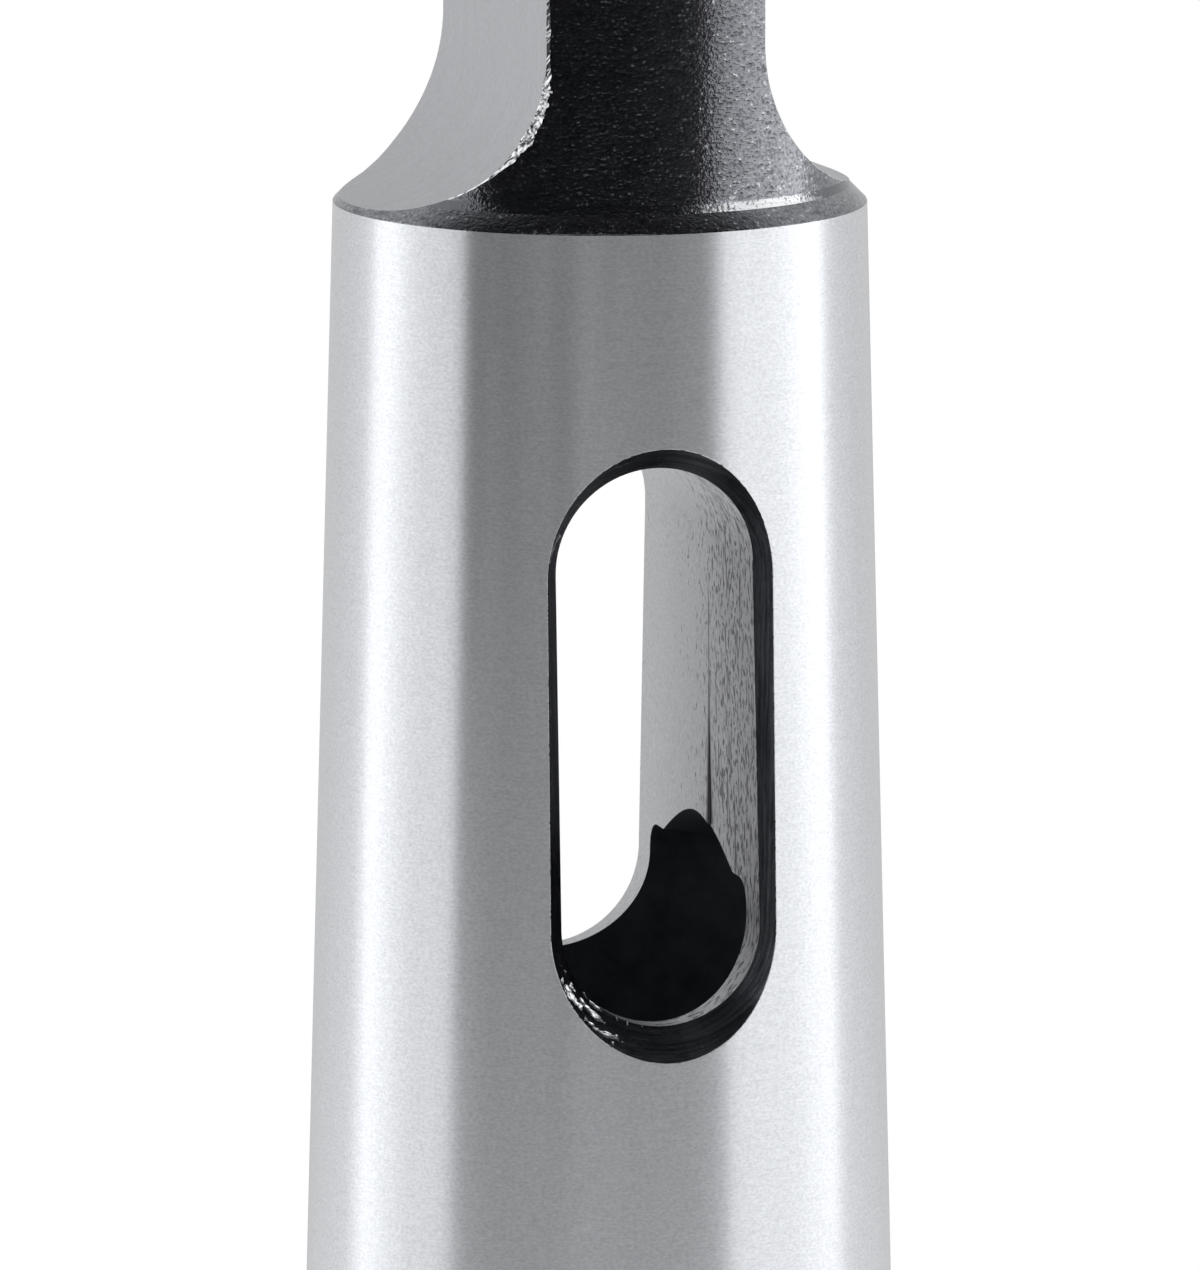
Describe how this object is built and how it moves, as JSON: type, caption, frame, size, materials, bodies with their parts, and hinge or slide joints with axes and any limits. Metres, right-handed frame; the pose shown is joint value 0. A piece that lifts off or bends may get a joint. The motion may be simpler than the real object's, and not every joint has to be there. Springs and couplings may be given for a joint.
{
  "type": "morse taper sleeve",
  "caption": "Ground steel taper sleeve with a driving tang and a drift slot; its taper socket lets a smaller tapered shank fit a larger spindle.",
  "frame": {"origin": "centre of the open end face, on the sleeve's axis", "axes": "+Z along the axis from the open end to the tang; Y through the drift slot; X square to the tang's two flats"},
  "size_m": [0.024, 0.024, 0.112],
  "materials": {
    "ground_steel": "Taper ground to a satin sheen with fine rings round the axis; tang flats and slot walls milled; shoulder, bevels, round tang, collar and bore left in black oxide."
  },
  "bodies": {
    "root": {"sleeve": "ground_steel"}
  },
  "joints": []
}
